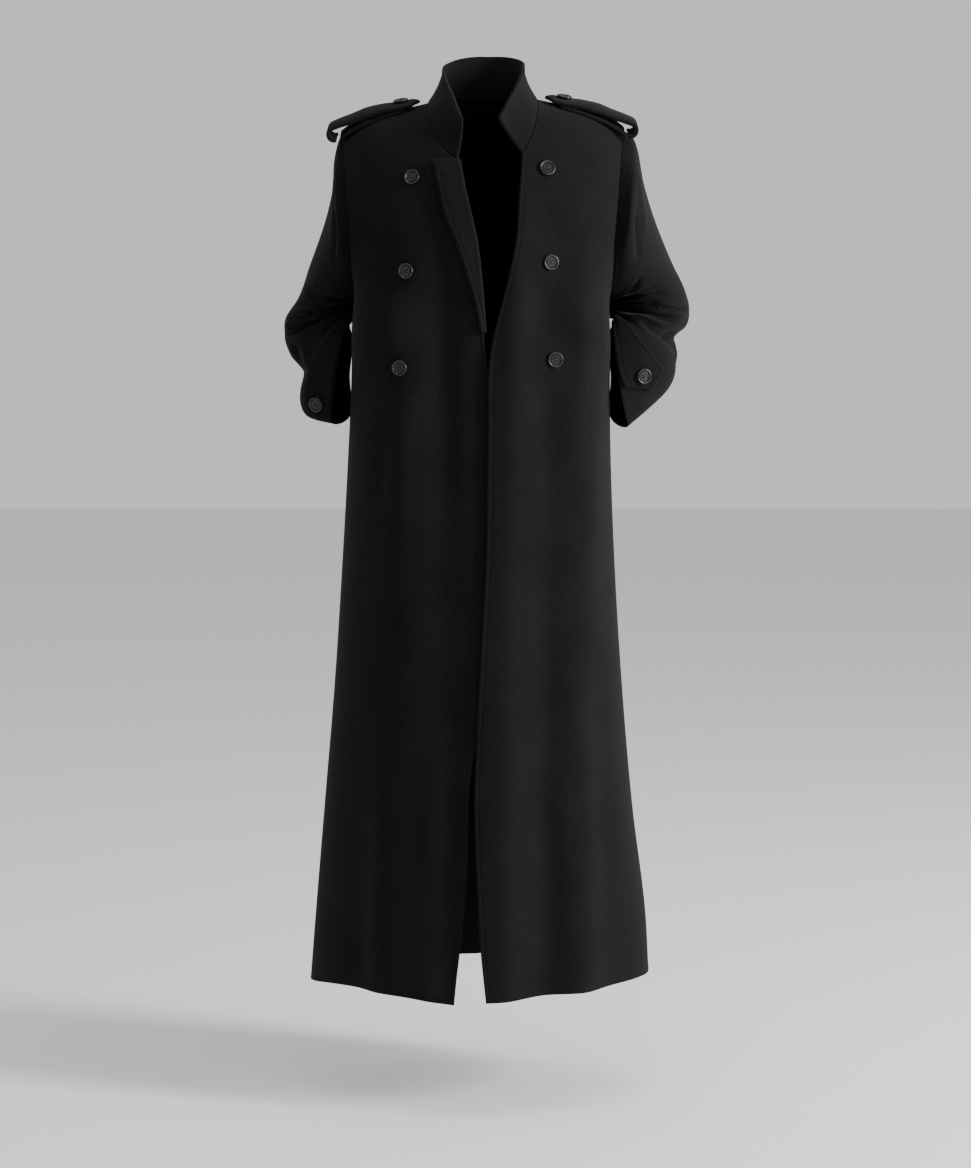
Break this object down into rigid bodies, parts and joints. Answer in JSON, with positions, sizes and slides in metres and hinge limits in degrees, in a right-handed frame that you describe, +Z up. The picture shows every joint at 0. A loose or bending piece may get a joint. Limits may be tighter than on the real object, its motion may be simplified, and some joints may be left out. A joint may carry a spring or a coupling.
{
  "type": "double-breasted coat",
  "caption": "Long double-breasted wool coat worn open at the neck, with a standing collar, one turned-out lapel, shoulder straps and buttoned cuff straps, its sleeves bent.",
  "frame": {"origin": "middle of the neck base, level with the points where the shoulder seams meet the collar", "axes": "+Z up, +X towards the wearer's left, -Y towards the front"},
  "size_m": [0.6146, 0.4034, 1.3998],
  "materials": {
    "melton": "napped wool melton",
    "button_horn": "satin"
  },
  "bodies": {
    "root": {"back": "melton", "button_cuff_left": "button_horn", "button_cuff_right": "button_horn", "button_left_low": "button_horn", "button_left_middle": "button_horn", "button_left_top": "button_horn", "button_right_low": "button_horn", "button_right_middle": "button_horn", "button_right_top": "button_horn", "button_strap_left": "button_horn", "button_strap_right": "button_horn", "collar": "melton", "cuff_strap_left": "melton", "cuff_strap_right": "melton", "front_left": "melton", "front_right": "melton", "lapel_right": "melton", "strap_over_left": "melton", "strap_over_right": "melton", "strap_under_left": "melton", "strap_under_right": "melton", "top_sleeve_left": "melton", "top_sleeve_right": "melton", "under_sleeve_left": "melton", "under_sleeve_right": "melton"}
  },
  "joints": []
}
